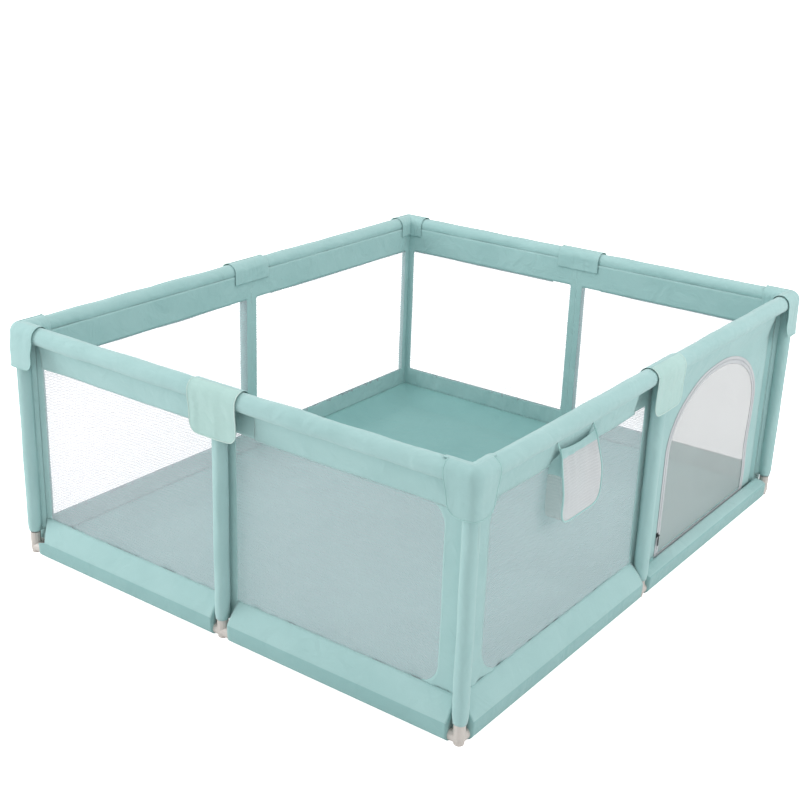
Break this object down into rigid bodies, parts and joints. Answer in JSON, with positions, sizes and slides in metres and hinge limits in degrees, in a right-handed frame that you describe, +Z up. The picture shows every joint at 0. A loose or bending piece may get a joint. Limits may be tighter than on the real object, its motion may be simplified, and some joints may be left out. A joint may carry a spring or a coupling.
{
  "type": "playpen",
  "caption": "Rectangular children's playpen: padded rails on corner and middle posts, mesh walls, floor mat, arched zip door, hanging pocket and flaps that lift off the rails.",
  "frame": {"origin": "centre of the footprint on the floor", "axes": "+Z up, +Y along the long walls, +X towards the wall with the door and the pocket, -Y the front"},
  "size_m": [1.5, 1.8, 0.6797],
  "materials": {
    "steel_tube": "zinc-plated steel tube",
    "connector_plastic": "moulded polypropylene, warm light grey",
    "cover_fabric": "plain-weave polyester, pale teal, with clear mesh panels",
    "mat_fabric": "coated plain-weave polyester, teal",
    "door_mesh": "fine breathable mesh, pale grey",
    "pocket_net": "whitish mesh with bound edges",
    "flap_fabric": "padded polyester flap, pale mint, stitched edge",
    "zip_metal": "dark grey zip slider and pull"
  },
  "bodies": {
    "root": {"post_front_right": "steel_tube", "post_front_mid": "steel_tube", "top_rail_front_1": "steel_tube", "base_rail_front_1": "steel_tube", "top_rail_front_2": "steel_tube", "base_rail_front_2": "steel_tube", "top_connector_front_right": "connector_plastic", "top_connector_front_mid": "connector_plastic", "base_connector_front_right": "connector_plastic", "base_connector_front_mid": "connector_plastic", "wall_front": "cover_fabric", "post_back_right": "steel_tube", "post_right_mid": "steel_tube", "top_rail_right_1": "steel_tube", "base_rail_right_1": "steel_tube", "top_rail_right_2": "steel_tube", "base_rail_right_2": "steel_tube", "top_connector_back_right": "connector_plastic", "top_connector_right_mid": "connector_plastic", "base_connector_back_right": "connector_plastic", "base_connector_right_mid": "connector_plastic", "wall_right": "cover_fabric", "post_back_left": "steel_tube", "post_back_mid": "steel_tube", "top_rail_back_1": "steel_tube", "base_rail_back_1": "steel_tube", "top_rail_back_2": "steel_tube", "base_rail_back_2": "steel_tube", "top_connector_back_left": "connector_plastic", "top_connector_back_mid": "connector_plastic", "base_connector_back_left": "connector_plastic", "base_connector_back_mid": "connector_plastic", "wall_back": "cover_fabric", "post_front_left": "steel_tube", "post_left_mid": "steel_tube", "top_rail_left_1": "steel_tube", "base_rail_left_1": "steel_tube", "top_rail_left_2": "steel_tube", "base_rail_left_2": "steel_tube", "top_connector_front_left": "connector_plastic", "top_connector_left_mid": "connector_plastic", "base_connector_front_left": "connector_plastic", "base_connector_left_mid": "connector_plastic", "wall_left": "cover_fabric", "floor_mat": "mat_fabric"},
    "door_panel": {"door_panel": "door_mesh"},
    "flap_back_left": {"flap_back_left": "flap_fabric"},
    "flap_back_mid": {"flap_back_mid": "flap_fabric"},
    "flap_back_right": {"flap_back_right": "flap_fabric"},
    "flap_front_left": {"flap_front_left": "flap_fabric"},
    "flap_front_mid": {"flap_front_mid": "flap_fabric"},
    "flap_front_right": {"flap_front_right": "flap_fabric"},
    "flap_left_mid": {"flap_left_mid": "flap_fabric"},
    "flap_right_mid": {"flap_right_mid": "flap_fabric"},
    "pocket": {"pocket": "pocket_net"},
    "zip_pull": {"zip_pull": "zip_metal"},
    "zip_slider": {"zip_slider": "zip_metal"}
  },
  "joints": [
    {"name": "flap_front_mid_lift", "type": "hinge", "parent": "root", "child": "flap_front_mid", "pos_m": [0, -0.874, 0.67875], "axis": [-1, 0, 0], "range_deg": [0, 120]},
    {"name": "flap_front_right_lift", "type": "hinge", "parent": "root", "child": "flap_front_right", "pos_m": [0.683, -0.833, 0.67875], "axis": [-0.7071, -0.7071, 0], "range_deg": [0, 110]},
    {"name": "flap_right_mid_lift", "type": "hinge", "parent": "root", "child": "flap_right_mid", "pos_m": [0.724, 0, 0.67875], "axis": [0, -1, 0], "range_deg": [0, 120]},
    {"name": "flap_back_right_lift", "type": "hinge", "parent": "root", "child": "flap_back_right", "pos_m": [0.683, 0.833, 0.67875], "axis": [0.7071, -0.7071, 0], "range_deg": [0, 110]},
    {"name": "flap_back_mid_lift", "type": "hinge", "parent": "root", "child": "flap_back_mid", "pos_m": [0, 0.874, 0.67875], "axis": [1, 0, 0], "range_deg": [0, 120]},
    {"name": "flap_back_left_lift", "type": "hinge", "parent": "root", "child": "flap_back_left", "pos_m": [-0.683, 0.833, 0.67875], "axis": [0.7071, 0.7071, 0], "range_deg": [0, 110]},
    {"name": "flap_left_mid_lift", "type": "hinge", "parent": "root", "child": "flap_left_mid", "pos_m": [-0.724, 0, 0.67875], "axis": [0, 1, 0], "range_deg": [0, 120]},
    {"name": "flap_front_left_lift", "type": "hinge", "parent": "root", "child": "flap_front_left", "pos_m": [-0.683, -0.833, 0.67875], "axis": [-0.7071, 0.7071, 0], "range_deg": [0, 110]},
    {"name": "door_fold", "type": "hinge", "parent": "root", "child": "door_panel", "pos_m": [0.696, 0.435, 0.064], "axis": [0, 1, 0], "range_deg": [-88, 90]},
    {"name": "zip_travel", "type": "slide", "parent": "root", "child": "zip_slider", "axis": [0, 0, 1], "range_m": [0, 0.22]},
    {"name": "zip_pull_swing", "type": "hinge", "parent": "zip_slider", "child": "zip_pull", "pos_m": [0.7033, 0.1315, 0.1255], "axis": [0, -1, 0], "range_deg": [0, 160]},
    {"name": "pocket_swing", "type": "hinge", "parent": "root", "child": "pocket", "pos_m": [0.6978, -0.43, 0.6], "axis": [0, -1, 0], "range_deg": [0, 50]}
  ]
}
